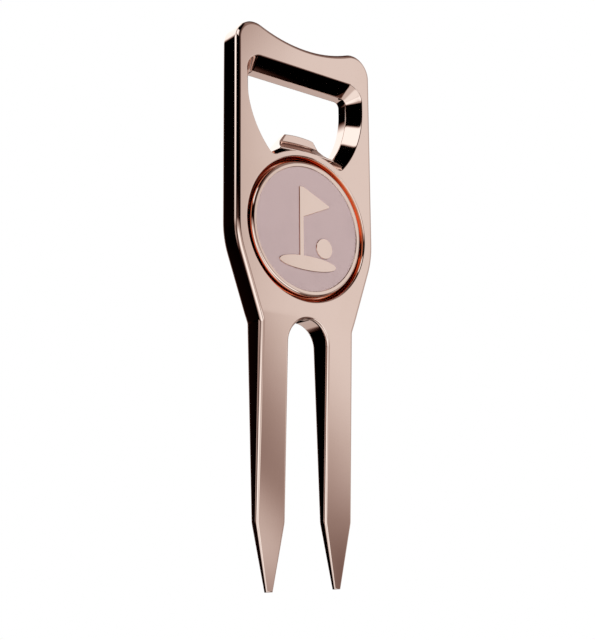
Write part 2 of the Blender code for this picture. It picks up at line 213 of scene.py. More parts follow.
def circles_meet(centre_a, radius_a, centre_b, radius_b):
    """The crossing of two circles on the left of the way from the first centre to the second."""
    a, b = Vector(centre_a), Vector(centre_b)
    apart = (b - a).length
    along = (radius_a ** 2 - radius_b ** 2 + apart ** 2) / (2 * apart)
    across = math.sqrt(radius_a ** 2 - along ** 2)
    direction = (b - a) / apart
    return a + direction * along + Vector((-direction.y, direction.x)) * across


def window_outline(share):
    """The window's outline, moved in on top and sides by a share of the chamfer's width."""
    top = WINDOW_TOP - share * CHAMFER_TOP_WIDTH
    inset = share * CHAMFER_SIDE_WIDTH
    half_width = WINDOW_HALF - inset
    corner_radius = WINDOW_CORNER_RADIUS - inset
    side_radius = WINDOW_SIDE_RADIUS - inset
    corner = (half_width - corner_radius, top - corner_radius)
    side = (half_width - side_radius, WINDOW_TOP - WINDOW_CORNER_RADIUS - WINDOW_SIDE_LENGTH)
    to_lobe = side_radius - WINDOW_LOBE_RADIUS
    lobe = circles_meet(side, to_lobe, (0, 0), RING_RADIUS + WINDOW_LOBE_RADIUS)
    side_end = math.atan2(lobe.y - side[1], lobe.x - side[0])
    lobe_end = math.atan2(-lobe.y, -lobe.x)
    ring_start = math.atan2(lobe.y, lobe.x)
    points = [(0.0, top)]
    points += arc(corner, corner_radius, math.pi / 2, 0.0, WINDOW_STEPS)
    points += arc(side, side_radius, 0.0, side_end, WINDOW_STEPS)
    points += arc(lobe, WINDOW_LOBE_RADIUS, side_end, lobe_end, WINDOW_STEPS)[1:]
    points += arc((0, 0), RING_RADIUS, ring_start, math.pi / 2, WINDOW_STEPS)[1:]
    return [(x, z + SEAT_Z) for x, z in mirrored(points)]


print("window outline:", len(window_outline(0.0)), "points")

# %% [markdown]
# ## Rings and rolled edges
# Every edge of the real casting is a little round, because it was tumbled and buffed before it was
# plated. Those narrow roundings carry the bright lines that make metal look like metal. Here each
# one is a stack of rings. A profile says how far in and how deep each ring lies, and a soft corner
# turns one sharp corner of that profile into a short curve.

# %% Helpers that bend corners and stack rings
SOFT_STEPS = 5


def soft_corner(before, corner, after, reach_before, reach_after, steps=SOFT_STEPS):
    """A profile's corner as a smooth curve, from reach_before it to reach_after it."""
    before, corner, after = Vector(before), Vector(corner), Vector(after)
    start = corner + (before - corner).normalized() * reach_before
    end = corner + (after - corner).normalized() * reach_after
    curve = []
    for k in range(steps + 1):
        t = k / steps
        curve.append(tuple(start * (1 - t) ** 2 + corner * (2 * t * (1 - t)) + end * t ** 2))
    return curve


def add_ring(bm, outline, y):
    """A ring of vertices at one depth, or at a depth of its own for each point."""
    depths = y if isinstance(y, list) else [y] * len(outline)
    return [bm.verts.new((x, depth, z)) for (x, z), depth in zip(outline, depths)]


def bridge(bm, rings):
    """Quads between each ring and the next."""
    for ring, following in zip(rings, rings[1:]):
        for k in range(len(ring)):
            after = (k + 1) % len(ring)
            bm.faces.new((ring[k], ring[after], following[after], following[k]))


def cap(bm, *loops):
    """A flat face bounded by the first loop, with the other loops as holes."""
    flat = [[Vector((v.co.x, v.co.z, 0.0)) for v in loop] for loop in loops]
    verts = [v for loop in loops for v in loop]
    for triangle in tessellate_polygon(flat):
        bm.faces.new([verts[k] for k in triangle])


def circle(radius, count, centre=(0.0, SEAT_Z)):
    """A circle's points, clockwise, as every outline here."""
    turns = [-2 * math.pi * k / count for k in range(count)]
    return [(centre[0] + radius * math.cos(t), centre[1] + radius * math.sin(t)) for t in turns]


# %% The body's outer edge: a quarter round on both faces
EDGE_RADIUS = 0.0008
SLOT_EDGE_RADIUS = 0.0005
THIN_EDGE_SHARE = 0.55
EDGE_STEPS = 10
CREASE_DROP = 0.0153
CREASE_Z = SEAT_Z - CREASE_DROP
SHOULDER_THICKNESS = 0.0016
TIP_THICKNESS = 0.0007
BLEND = 0.0005
UPPER_SLOPE = (BACK - SHOULDER_THICKNESS / 2) / (CREASE_Z - TIP_LENGTH)
LOWER_SLOPE = (SHOULDER_THICKNESS - TIP_THICKNESS) / 2 / TIP_LENGTH


def eased_drop(above):
    """How far a point is below a bend, eased over a short way to soften the bend."""
    if above > BLEND:
        return 0.0
    if above < -BLEND:
        return -above
    return (BLEND - above) ** 2 / (4 * BLEND)


def half_thickness(z):
    """Half the thickness at a height: it thins from the crease, and less from the shoulder."""
    upper = UPPER_SLOPE * eased_drop(z - CREASE_Z)
    lower = (LOWER_SLOPE - UPPER_SLOPE) * eased_drop(z - TIP_LENGTH)
    return BACK - upper - lower


def edge_radius(x, z):
    """The rounding at an outline point: less in the slot, and less where the metal is thin."""
    in_slot = z <= SEAT_Z - SLOT_TOP_DROP + 1e-6 and abs(x) < PRONG_CENTRE
    return min(SLOT_EDGE_RADIUS if in_slot else EDGE_RADIUS, THIN_EDGE_SHARE * half_thickness(z))


def outer_ring(bm, turn, side):
    """One ring of the outer edge: turn is 0 on the side wall and a right angle on the face."""
    outline, depths = [], []
    for point, step in zip(OUTLINE, inward_steps(OUTLINE)):
        radius = edge_radius(*point)
        outline.append(tuple(Vector(point) + step * radius * (1 - math.cos(turn))))
        depths.append(side * (BACK - radius * (1 - math.sin(turn))))
    return add_ring(bm, outline, depths)


def outer_rings(bm):
    turns = [math.pi / 2 * k / EDGE_STEPS for k in range(EDGE_STEPS + 1)]
    rings = [outer_ring(bm, turn, -1) for turn in reversed(turns)]
    rings += [outer_ring(bm, turn, 1) for turn in turns]
    bridge(bm, rings)
    return rings[0], rings[-1]


# %% The window's wall, from the front edge over the chamfer to the back edge
FRONT_EDGE_REACH = 0.00013
INNER_EDGE_REACH = 0.00010
BACK_EDGE_REACH = 0.00018


def on_chamfer(share):
    """A point of the hollow chamfer, as (share of its width, extra width, depth)."""
    return share, 0.0, FRONT + CHAMFER_DEPTH * share + CHAMFER_HOLLOW * 4 * share * (1 - share)


def window_rings(bm):
    """Rings at (share of the chamfer, extra width, depth), with all three corners softened."""
    front_share = FRONT_EDGE_REACH / CHAMFER_DEPTH
    inner_share = 1 - INNER_EDGE_REACH / CHAMFER_DEPTH
    edge, inner = on_chamfer(0.0), on_chamfer(1.0)
    stations = soft_corner(
        (0, FRONT_EDGE_REACH, FRONT), edge, on_chamfer(front_share), FRONT_EDGE_REACH,
        (Vector(on_chamfer(front_share)) - Vector(edge)).length)
    for k in range(1, CHAMFER_STEPS):
        stations.append(on_chamfer(front_share + (inner_share - front_share) * k / CHAMFER_STEPS))
    stations += soft_corner(
        on_chamfer(inner_share), inner, (1, 0, inner[2] + INNER_EDGE_REACH),
        (Vector(on_chamfer(inner_share)) - Vector(inner)).length, INNER_EDGE_REACH)
    stations += soft_corner(
        (1, 0, BACK - BACK_EDGE_REACH), (1, 0, BACK), (1, BACK_EDGE_REACH, BACK),
        BACK_EDGE_REACH, BACK_EDGE_REACH)
    rings = []
    for share, wider, y in stations:
        rings.append(add_ring(bm, moved_in(window_outline(share), -wider), y))
    bridge(bm, rings)
    return rings[0], rings[-1]


# %% The marker's seat, with the magnet's pocket in its floor
SEAT_SEGMENTS = 192
REST_GAP = 0.0003
SEAT_FLOOR = marker_high.y + REST_GAP
SEAT_CORNER = 0.0004
SEAT_TAPER = 0.0004
SEAT_TAPER_DEPTH = 0.0009
POCKET_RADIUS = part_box("seat_magnet")[1].x + REST_GAP
POCKET_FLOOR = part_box("magnet_adhesive")[1].y + REST_GAP


def turned_rings(bm, profile, segments):
    """Rings turned about the seat's axis from (radius, depth) points."""
    rings = [add_ring(bm, circle(radius, segments), y) for radius, y in profile]
    bridge(bm, rings)
    return rings[0], rings[-1]


def seat_profile():
    lip = SEAT_RADIUS + SEAT_LIP
    neck = (SEAT_RADIUS - SEAT_TAPER, FRONT + SEAT_TAPER_DEPTH)
    foot = (neck[0], SEAT_FLOOR)
    profile = soft_corner((lip, FRONT), (SEAT_RADIUS, FRONT), neck, SEAT_LIP, SEAT_LIP)
    profile += soft_corner((SEAT_RADIUS, FRONT), neck, foot, SEAT_CORNER / 2, SEAT_CORNER / 2)
    profile += soft_corner(neck, foot, (POCKET_RADIUS, SEAT_FLOOR), SEAT_CORNER, SEAT_CORNER)
    profile += [(POCKET_RADIUS, SEAT_FLOOR), (POCKET_RADIUS, POCKET_FLOOR)]
    return profile


# %% [markdown]
# ## The body
# The outer edge, the window and the seat are three sets of rings. The front face is one flat cap
# with two holes, and the back face one with a single hole, so no Boolean touches the big polished
# faces. The prongs thin towards their tips. The plate is sliced at the heights where it bends, and
# each slice is then brought in, so every face stays flat between two bends.

# %% Build the plate, then thin the prongs
BEND_SLICES = 4


def thin_prongs(bm):
    """Slices the plate across each bend, then moves every point to its true half thickness."""
    for bend in (CREASE_Z, TIP_LENGTH):
        for k in range(BEND_SLICES + 1):
            height = bend + BLEND * (2 * k / BEND_SLICES - 1)
            parts = list(bm.verts) + list(bm.edges) + list(bm.faces)
            bmesh.ops.bisect_plane(
                bm, geom=parts, dist=1e-7, plane_co=(0, 0, height), plane_no=(0, 0, 1))
    for vert in bm.verts:
        vert.co.y -= math.copysign(BACK - half_thickness(vert.co.z), vert.co.y)


def object_from(bm, name):
    """Turns a bmesh into an object with its faces pointing out."""
    bmesh.ops.recalc_face_normals(bm, faces=bm.faces)
    mesh = bpy.data.meshes.new(name)
    bm.to_mesh(mesh)
    bm.free()
    obj = bpy.data.objects.new(name, mesh)
    bpy.context.scene.collection.objects.link(obj)
    return obj


def make_plate():
    bm = bmesh.new()
    front, back = outer_rings(bm)
    window_front, window_back = window_rings(bm)
    seat_front, seat_back = turned_rings(bm, seat_profile(), SEAT_SEGMENTS)
    cap(bm, front, window_front, seat_front)
    cap(bm, back, window_back)
    bm.faces.new(seat_back)
    thin_prongs(bm)
    return object_from(bm, "polished_body")


body = make_plate()
print("plate:", len(body.data.polygons), "faces")

# %% [markdown]
# ## The pry tab
# A lip at the bottom of the window hooks under the crown cap. It stands halfway through the
# thickness, and a hollowed ramp runs from it down to the front. It is its own small solid, with its
# sharp edges bevelled, joined to the body by a union. The union only touches the rim of the seat,
# so the big faces are safe.

# %% Loft the tab across its width and join it to the body
RAMP_RISE = 0.0020
TAB_FACE_HEIGHT = 0.0015
TAB_ARCH = 0.00025
TAB_TOP_HALF = 0.0032
TAB_SIDE_SLOPE = 0.75
TAB_FRONT_Y = 0.0001
TAB_THICKNESS = 0.0011
RAMP_HOLLOW = 0.0003
TAB_STEPS = 12
TAB_BEVEL = 0.00015
TAB_BEVEL_FROM = math.radians(35)
TAB_STEP_Z = RING_RADIUS + RAMP_RISE
TAB_TOP_Z = TAB_STEP_Z + TAB_FACE_HEIGHT


def tab_profile():
    """The tab from the side, as (depth, height above the seat's centre)."""
    root = SEAT_RADIUS + SEAT_LIP + RING_WIDTH / 2
    profile = [(FRONT, root)]
    for k in range(TAB_STEPS + 1):
        share = k / TAB_STEPS
        height = RING_RADIUS + RAMP_RISE * share - 4 * RAMP_HOLLOW * share * (1 - share)
        profile.append((FRONT + (TAB_FRONT_Y - FRONT) * share, height))
    profile += [(TAB_FRONT_Y, TAB_TOP_Z), (TAB_FRONT_Y + TAB_THICKNESS, TAB_TOP_Z)]
    profile += [(BACK, RING_RADIUS), (BACK, root)]
    return profile


def make_tab():
    bm = bmesh.new()
    rings = []
    for k in range(TAB_STEPS + 1):
        across = 2 * k / TAB_STEPS - 1
        ring = []
        for y, height in tab_profile():
            x = across * (TAB_TOP_HALF + (TAB_TOP_Z - height) * TAB_SIDE_SLOPE)
            ring.append(bm.verts.new((x, y, SEAT_Z + height - TAB_ARCH * across ** 2)))
        rings.append(ring)
    bridge(bm, rings)
    bm.faces.new(rings[0])
    bm.faces.new(rings[-1])
    tab = object_from(bm, "pry_tab")
    bevel = tab.modifiers.new("soft_edges", "BEVEL")
    bevel.width = TAB_BEVEL
    bevel.segments = 3
    bevel.angle_limit = TAB_BEVEL_FROM
    return tab


def join(obj, other):
    """Adds another solid to an object with an exact union, and leaves one plain mesh."""
    union = obj.modifiers.new("union", "BOOLEAN")
    union.operation = "UNION"
    union.solver = "EXACT"
    union.object = other
    graph = bpy.context.evaluated_depsgraph_get()
    joined = bpy.data.meshes.new_from_object(obj.evaluated_get(graph))
    obj.modifiers.clear()
    obj.data = joined
    bpy.data.objects.remove(other)


join(body, make_tab())
print("body with its tab:", len(body.data.polygons), "faces")

# %% [markdown]
# ## Flat stays flat
# Smooth shading turns each vertex's normal to the mean of the faces around it. Beside a rounding
# that bends the whole flat face, and a mirror shows it as a smear. The Weighted Normal modifier
# gives the biggest face the say, so flat faces stay flat and only the roundings turn. Long thin
# triangles still bend a little, so points on a flat face then get its true normal, computed from
# the plate's own thickness.

# %% Shade the body
SHARP_ANGLE = math.radians(28)
FACE_TOLERANCE = 1e-7
NEAR_FACE = math.cos(math.radians(25))
SLOPE_STEP = 0.00001


def surface_normal(side, z):
    """The true normal of the front (-1) or back (1) face at a height."""
    slope = (half_thickness(z + SLOPE_STEP) - half_thickness(z - SLOPE_STEP)) / (2 * SLOPE_STEP)
    return Vector((0, side, -slope)).normalized()


def plate_normal(point):
    """The normal where a point lies on the body's front or back face, and None elsewhere."""
    if abs(abs(point.y) - half_thickness(point.z)) > FACE_TOLERANCE:
        return None
    return surface_normal(math.copysign(1, point.y), point.z)


def shade_polished(obj, face_normal):
    """Smooth shading: hard corners kept, large faces rule the roundings, flat faces true."""
    obj.data.shade_smooth()
    obj.data.set_sharp_from_angle(angle=SHARP_ANGLE)
    weighted = obj.modifiers.new("flat_faces", "WEIGHTED_NORMAL")
    weighted.mode = "FACE_AREA"
    weighted.weight = 100
    weighted.keep_sharp = True
    graph = bpy.context.evaluated_depsgraph_get()
    mesh = bpy.data.meshes.new_from_object(obj.evaluated_get(graph), depsgraph=graph)
    obj.modifiers.clear()
    obj.data = mesh
    normals = [corner.vector.copy() for corner in mesh.corner_normals]
    for polygon in mesh.polygons:
        for loop in polygon.loop_indices:
            true_normal = face_normal(mesh.vertices[mesh.loops[loop].vertex_index].co)
            if true_normal and true_normal.dot(polygon.normal) > NEAR_FACE:
                normals[loop] = true_normal
    mesh.normals_split_custom_set(normals)


shade_polished(body, plate_normal)
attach(body, "tool")
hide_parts("tool_body")

# %% [markdown]
# ## The ball marker
# The marker is a stamped disc. Its rim is round outside, and a flat field lies a little below it.
# A raised badge stands on the field, here a golf flag on its green with a ball beside it. The badge
# could be laid on as loose pieces, but in real metal it is one stamping. So its outline is a hole
# in the field's cap, and its walls rise from that hole.

# %% Sizes and outlines of the badge
RIM_WIDTH = 0.00105
FIELD_DEPTH = 0.00032
FIELD_RADIUS = MARKER_RADIUS - RIM_WIDTH
FIELD_Y = FRONT + FIELD_DEPTH
POLE_X = -0.0014
POLE_WIDTH = 0.0009
POLE_TOP = 0.0074
PENNANT_LENGTH = 0.0066
PENNANT_HEIGHT = 0.0054
BALL_RADIUS = 0.0018
BALL_PLACE = (0.0036, -0.0030)
GREEN_HALF = (0.0062, 0.0013)
GREEN_Z = -0.0061
BADGE_STEPS = 48
BADGE_CORNER = 0.00025


def round_the_green(start, end):
    half_length, half_height = GREEN_HALF
    turns = [start + (end - start) * k / BADGE_STEPS for k in range(BADGE_STEPS + 1)]
    return [(half_length * math.cos(t), GREEN_Z + half_height * math.sin(t)) for t in turns]


def flag_on_green():
    """One outline, clockwise: up the pole, round the pennant, down the pole and round the green."""
    left, right = POLE_X - POLE_WIDTH / 2, POLE_X + POLE_WIDTH / 2
    half_length, half_height = GREEN_HALF
    pole_foot = GREEN_Z + half_height * math.sqrt(1 - (left / half_length) ** 2)
    pennant_foot = (right, POLE_TOP - PENNANT_HEIGHT)
    tip = (POLE_X + PENNANT_LENGTH, POLE_TOP - PENNANT_HEIGHT / 2)
    start = math.acos(right / half_length)
    end = math.acos(left / half_length) - 2 * math.pi
    points = [(left, pole_foot)]
    points += rounded_corner((left, 0.0), (left, POLE_TOP), (right, POLE_TOP), BADGE_CORNER)
    points += [(right, POLE_TOP)]
    points += rounded_corner((right, POLE_TOP), tip, pennant_foot, BADGE_CORNER)
    points += [pennant_foot]
    points += round_the_green(start, end)
    return [(x, z + SEAT_Z) for x, z in distinct(points)]


def badge_outlines():
    ball = circle(BALL_RADIUS, BADGE_STEPS, (BALL_PLACE[0], BALL_PLACE[1] + SEAT_Z))
    return [flag_on_green(), ball]


# %% Build the marker as one turned and stamped piece
MARKER_SEGMENTS = 192
MARKER_EDGE = 0.0006
BADGE_EDGE = 0.00010
RIM_INNER_EDGE = 0.00012


def marker_profile():
    """From the field's edge over the rim and the rounded side to the back, as (radius, depth)."""
    field, rim = (FIELD_RADIUS, FIELD_Y), (FIELD_RADIUS, FRONT)
    outer, foot = (MARKER_RADIUS, FRONT), (MARKER_RADIUS, marker_high.y)
    axis = (0.0, marker_high.y)
    profile = [field]
    profile += soft_corner(field, rim, outer, RIM_INNER_EDGE, RIM_INNER_EDGE)
    profile += soft_corner(rim, outer, foot, MARKER_EDGE, MARKER_EDGE, 2 * SOFT_STEPS)
    profile += soft_corner(outer, foot, axis, RIM_INNER_EDGE, RIM_INNER_EDGE)
    return profile


def raise_badge(bm, outline):
    """Walls, a soft edge and a top for one shape of the badge. It returns the ring on the field."""
    stations = [(0.0, FIELD_Y)]
    stations += soft_corner(
        (0.0, FIELD_Y), (0.0, FRONT), (BADGE_EDGE, FRONT), BADGE_EDGE, BADGE_EDGE, 3)
    rings = [add_ring(bm, moved_in(outline, inset), y) for inset, y in stations]
    bridge(bm, rings)
    cap(bm, rings[-1])
    return rings[0]


def make_marker():
    bm = bmesh.new()
    field_edge, back_edge = turned_rings(bm, marker_profile(), MARKER_SEGMENTS)
    feet = [raise_badge(bm, outline) for outline in badge_outlines()]
    cap(bm, field_edge, *feet)
    bm.faces.new(back_edge)
    return object_from(bm, "polished_marker_disc")


def badge_normal(point):
    """Straight out where a point lies on the rim's top or on the badge's top."""
    return Vector((0, -1, 0)) if abs(point.y - FRONT) < FACE_TOLERANCE else None


marker = make_marker()
shade_polished(marker, badge_normal)
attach(marker, "marker")
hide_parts("ball_marker")
print("marker:", len(marker.data.polygons), "faces")

# %% [markdown]
# ## The enamel
# Matt enamel fills the field up to the rim and to the badge. It was poured, so it creeps up a
# little where it meets metal. It is a thin sheet with holes for the badge, and a few rings along
# every wall rise towards the metal.

# %% Build the enamel sheet
ENAMEL_Y = enamel_low.y
ENAMEL_CREEP = 0.00006
ENAMEL_EDGE = 0.00022
ENAMEL_PLAY = 0.00002
ENAMEL_LIFT = 0.00001
CREEP_SHARES = (0.0, 0.3, 0.65, 1.0)


def enamel_loop(bm, outline, outward):
    """Top rings along one wall: the sheet is highest at the metal and settles beside it."""
    rings = []
    for share in CREEP_SHARES:
        lift = ENAMEL_CREEP * (1 - share) ** 2
        edge = moved_in(outline, outward * ENAMEL_EDGE * share)
        rings.append(add_ring(bm, edge, ENAMEL_Y - lift))
    bridge(bm, rings)
    foot = add_ring(bm, outline, FIELD_Y - ENAMEL_LIFT)
    bridge(bm, [foot, rings[0]])
    return foot, rings[-1]


def make_enamel():
    bm = bmesh.new()
    loops = [enamel_loop(bm, circle(FIELD_RADIUS - ENAMEL_PLAY, MARKER_SEGMENTS), 1)]
    loops += [enamel_loop(bm, moved_in(outline, -ENAMEL_PLAY), -1) for outline in badge_outlines()]
    cap(bm, *[top for foot, top in loops])
    cap(bm, *[foot for foot, top in loops])
    return object_from(bm, "enamel_field")


enamel = make_enamel()
shade_polished(enamel, lambda point: None)
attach(enamel, "marker")
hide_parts("marker_enamel")
print("enamel:", len(enamel.data.polygons), "faces")

# %% [markdown]
# ## Finishes
# Polished plate is almost a mirror, so a single flat value looks like plastic film. What gives real
# plate away is small: faint haze where cloths and fingers have been, and hair-fine lines from the
# buffing wheel. Both show in more than one finish here, so each is a node group with named inputs
# and outputs, built once and placed with its own values in every material.

# %% Helpers for node trees
def add_node(tree, kind, **settings):
    node = tree.nodes.new(kind)
    for name, value in settings.items():
        setattr(node, name, value)
    return node


def feed(tree, node, socket, value):
    """Links an output into a socket, or sets the socket to a constant."""
    if isinstance(value, bpy.types.NodeSocket):
        tree.links.new(value, node.inputs[socket])
    else:
        node.inputs[socket].default_value = value


def math_node(tree, operation, first, second=0.0, third=0.0):
    node = add_node(tree, "ShaderNodeMath", operation=operation)
    feed(tree, node, 0, first)
    feed(tree, node, 1, second)
    feed(tree, node, 2, third)
    return node.outputs[0]


def smooth_range(tree, value, low, high, to_low=0.0, to_high=1.0):
    """A smooth step of a value from one range to another."""
    node = add_node(tree, "ShaderNodeMapRange", interpolation_type="SMOOTHSTEP")
    for socket, number in zip(("Value", "From Min", "From Max", "To Min", "To Max"),
                              (value, low, high, to_low, to_high)):
        feed(tree, node, socket, number)
    return node.outputs["Result"]


def new_group(name, inputs, outputs):
    """An empty shader group with float sockets. Inputs are (name, default) pairs."""
    group = bpy.data.node_groups.new(name, "ShaderNodeTree")
    for socket, default in inputs:
        made = group.interface.new_socket(socket, in_out="INPUT", socket_type="NodeSocketFloat")
        made.default_value = default
    for socket in outputs:
        group.interface.new_socket(socket, in_out="OUTPUT", socket_type="NodeSocketFloat")
    return group, group.nodes.new("NodeGroupInput"), group.nodes.new("NodeGroupOutput")


# %% The handling haze group: soft patches, a few millimetres across
def make_haze_group():
    group, given, result = new_group(
        "handling_haze", [("Scale", 90.0), ("Amount", 1.0)], ["Mask"])
    place = add_node(group, "ShaderNodeTexCoord")
    noise = add_node(group, "ShaderNodeTexNoise")
    feed(group, noise, "Vector", place.outputs["Object"])
    feed(group, noise, "Scale", given.outputs["Scale"])
    feed(group, noise, "Detail", 4.0)
    feed(group, noise, "Roughness", 0.55)
    patches = smooth_range(group, noise.outputs["Fac"], 0.42, 0.70)
    feed(group, result, "Mask", math_node(group, "MULTIPLY", patches, given.outputs["Amount"]))
    return group


haze_group = make_haze_group()


# %% The buffing lines group: hair-fine lines along the tool
def make_buffing_group():
    group, given, result = new_group(
        "buffing_lines", [("Lines", 9000.0), ("Stretch", 0.02), ("Amount", 1.0)],
        ["Height", "Mask"])
    place = add_node(group, "ShaderNodeTexCoord")
    split = add_node(group, "ShaderNodeSeparateXYZ")
    feed(group, split, 0, place.outputs["Object"])
    along = math_node(group, "MULTIPLY", split.outputs["Z"], given.outputs["Stretch"])
    drawn = add_node(group, "ShaderNodeCombineXYZ")
    feed(group, drawn, "X", split.outputs["X"])
    feed(group, drawn, "Y", split.outputs["Y"])
    feed(group, drawn, "Z", along)
    noise = add_node(group, "ShaderNodeTexNoise")
    feed(group, noise, "Vector", drawn.outputs[0])
    feed(group, noise, "Scale", given.outputs["Lines"])
    feed(group, noise, "Detail", 2.0)
    height = math_node(group, "MULTIPLY", noise.outputs["Fac"], given.outputs["Amount"])
    feed(group, result, "Height", height)
    feed(group, result, "Mask", smooth_range(group, noise.outputs["Fac"], 0.50, 0.75))
    return group


buffing_group = make_buffing_group()


# %% The grain group: an even fine grain, for matt and satin surfaces
def make_grain_group():
    group, given, result = new_group(
        "fine_grain", [("Scale", 12000.0), ("Amount", 1.0)], ["Height", "Mask"])
    place = add_node(group, "ShaderNodeTexCoord")
    noise = add_node(group, "ShaderNodeTexNoise")
    feed(group, noise, "Vector", place.outputs["Object"])
    feed(group, noise, "Scale", given.outputs["Scale"])
    feed(group, noise, "Detail", 3.0)
    height = math_node(group, "MULTIPLY", noise.outputs["Fac"], given.outputs["Amount"])
    feed(group, result, "Height", height)
    feed(group, result, "Mask", smooth_range(group, noise.outputs["Fac"], 0.35, 0.65))
    return group


grain_group = make_grain_group()
print("groups:", [g.name for g in bpy.data.node_groups])


# %% A material with its shader, and helpers that place a group and mix two values
def new_material(name, metallic, roughness):
    material = bpy.data.materials.new(name)
    material.use_nodes = True
    tree = material.node_tree
    shader = next(node for node in tree.nodes if node.type == "BSDF_PRINCIPLED")
    shader.inputs["Metallic"].default_value = metallic
    shader.inputs["Roughness"].default_value = roughness
    return material, tree, shader


def place_group(tree, group, **values):
    node = add_node(tree, "ShaderNodeGroup", node_tree=group)
    for socket, value in values.items():
        feed(tree, node, socket, value)
    return node


def blend_colours(tree, share, first, second):
    node = add_node(tree, "ShaderNodeMix", data_type="RGBA")
    feed(tree, node, 0, share)
    feed(tree, node, 6, (*first, 1.0))
    feed(tree, node, 7, (*second, 1.0))
    return node.outputs[2]


def bump(tree, shader, height, strength, distance):
    node = add_node(tree, "ShaderNodeBump")
    feed(tree, node, "Strength", strength)
    feed(tree, node, "Distance", distance)
    feed(tree, node, "Height", height)
    feed(tree, shader, "Normal", node.outputs[0])


# %% [markdown]
# ## Rose gold plate
# Rose gold is gold with copper in it. The plate over the casting is a few thousandths of a
# millimetre thick, and it takes its gloss from the polish below. The body and the marker share one
# recipe. The marker is handled more, so its lines are a little stronger.
#
# In the narrow gap round the marker, light bounces many times between two plated walls and comes
# out copper red. Left to the bounces alone, the ring is weak and broken, so both walls of the gap
# get a painted copper glow, a red colour that stands in for that bounced light.

# %% The plated finishes
POLISH_ROUGHNESS = 0.035
HAZE_ROUGHNESS = 0.030
LINE_ROUGHNESS = 0.020
LINE_STRENGTH = 0.05
LINE_DEPTH = 0.00001


def rose_gold(name, colour, worn, lines, haze_amount):
    """Polished plate: haze lifts the roughness, and buffing lines cut into it very slightly."""
    material, tree, shader = new_material(name, 1.0, 0.05)
    haze = place_group(tree, haze_group, Scale=110.0, Amount=haze_amount)
    lined = place_group(tree, buffing_group, Amount=lines)
    colours = blend_colours(tree, haze.outputs["Mask"], colour, worn)
    feed(tree, shader, "Base Color", colours)
    hazy = math_node(
        tree, "MULTIPLY_ADD", haze.outputs["Mask"], HAZE_ROUGHNESS, POLISH_ROUGHNESS)
    rough = math_node(tree, "MULTIPLY_ADD", lined.outputs["Mask"], LINE_ROUGHNESS, hazy)
    feed(tree, shader, "Roughness", rough)
    bump(tree, shader, lined.outputs["Height"], LINE_STRENGTH, LINE_DEPTH)
    return material


body_plate = rose_gold(
    "rose_gold_body", (0.930, 0.720, 0.640), (0.900, 0.690, 0.605), lines=0.6, haze_amount=0.6)
marker_plate = rose_gold(
    "rose_gold_marker", (0.940, 0.735, 0.650), (0.910, 0.700, 0.615), lines=0.9, haze_amount=0.8)
# The walls of the gap get a painted copper glow: red colour in place of light bounced between them.
painted_gap_glow = rose_gold(
    "painted_copper_gap_glow", (0.900, 0.420, 0.260), (0.860, 0.370, 0.220), lines=0.3, haze_amount=0.3)

# %% Put each plate on its faces, and the painted copper glow on the walls of the gap
WALL_DEPTH = 0.00008


def in_seat(centre):
    """True on the wall of the marker's seat, below the lip."""
    radius = math.hypot(centre.x, centre.z - SEAT_Z)
    on_wall = SEAT_RADIUS - SEAT_TAPER - SEAT_CORNER < radius < SEAT_RADIUS
    return on_wall and FRONT + SEAT_CORNER < centre.y < SEAT_FLOOR + WALL_DEPTH


def on_marker_wall(centre):
    """True on the marker's side below its rounded edge, and on the walls of the badge."""
    radius = math.hypot(centre.x, centre.z - SEAT_Z)
    side = radius > MARKER_RADIUS - WALL_DEPTH and centre.y > FRONT + MARKER_EDGE / 2
    badge = radius < FIELD_RADIUS - WALL_DEPTH and FRONT + BADGE_EDGE / 2 < centre.y < FIELD_Y
    return side or badge


def plate(obj, finish, recess, is_recess):
    """Puts the plating on a piece, and the painted glow on the faces that is_recess picks."""
    obj.data.materials.append(finish)
    obj.data.materials.append(recess)
    count = 0
    for polygon in obj.data.polygons:
        if is_recess(polygon.center):
            polygon.material_index = 1
            count += 1
    print(obj.name, "has", count, "recess faces")


# The second material on each piece is the painted copper glow, for the walls of the gap.
plate(body, body_plate, painted_gap_glow, in_seat)
plate(marker, marker_plate, painted_gap_glow, on_marker_wall)

# %% [markdown]
# ## Enamel, nickel and glue
# The enamel is ground pigment in a binder: fully matt, with a fine tooth that catches soft light
# and a slight drift of colour where it settled. The magnet behind the marker is nickel plated, and
# satin from tumbling. The glue under it is cured epoxy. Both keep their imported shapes, since they
# are plain discs that show only when the marker is out.

# %% The enamel's finish
def make_enamel_finish():
    material, tree, shader = new_material("mauve_enamel", 0.0, 0.6)
    drift = place_group(tree, haze_group, Scale=160.0, Amount=0.8)
    tooth = place_group(tree, grain_group, Scale=9000.0, Amount=1.0)
    feed(tree, shader, "Base Color", blend_colours(
        tree, drift.outputs["Mask"], (0.520, 0.395, 0.395), (0.490, 0.370, 0.372)))
    rough = math_node(tree, "MULTIPLY_ADD", tooth.outputs["Mask"], 0.10, 0.52)
    feed(tree, shader, "Roughness", rough)
    shader.inputs["Specular IOR Level"].default_value = 0.35
    bump(tree, shader, tooth.outputs["Height"], strength=0.25, distance=0.00002)
    return material


enamel.data.materials.append(make_enamel_finish())


# %% The finishes of the magnet and its glue
def make_nickel_finish():
    material, tree, shader = new_material("satin_nickel", 1.0, 0.25)
    grain = place_group(tree, grain_group, Scale=6000.0, Amount=1.0)
    haze = place_group(tree, haze_group, Scale=200.0, Amount=1.0)
    feed(tree, shader, "Base Color", blend_colours(
        tree, haze.outputs["Mask"], (0.700, 0.680, 0.640), (0.620, 0.600, 0.560)))
    rough = math_node(tree, "MULTIPLY_ADD", grain.outputs["Mask"], 0.12, 0.20)
    feed(tree, shader, "Roughness", rough)
    bump(tree, shader, grain.outputs["Height"], strength=0.20, distance=0.00002)
    return material


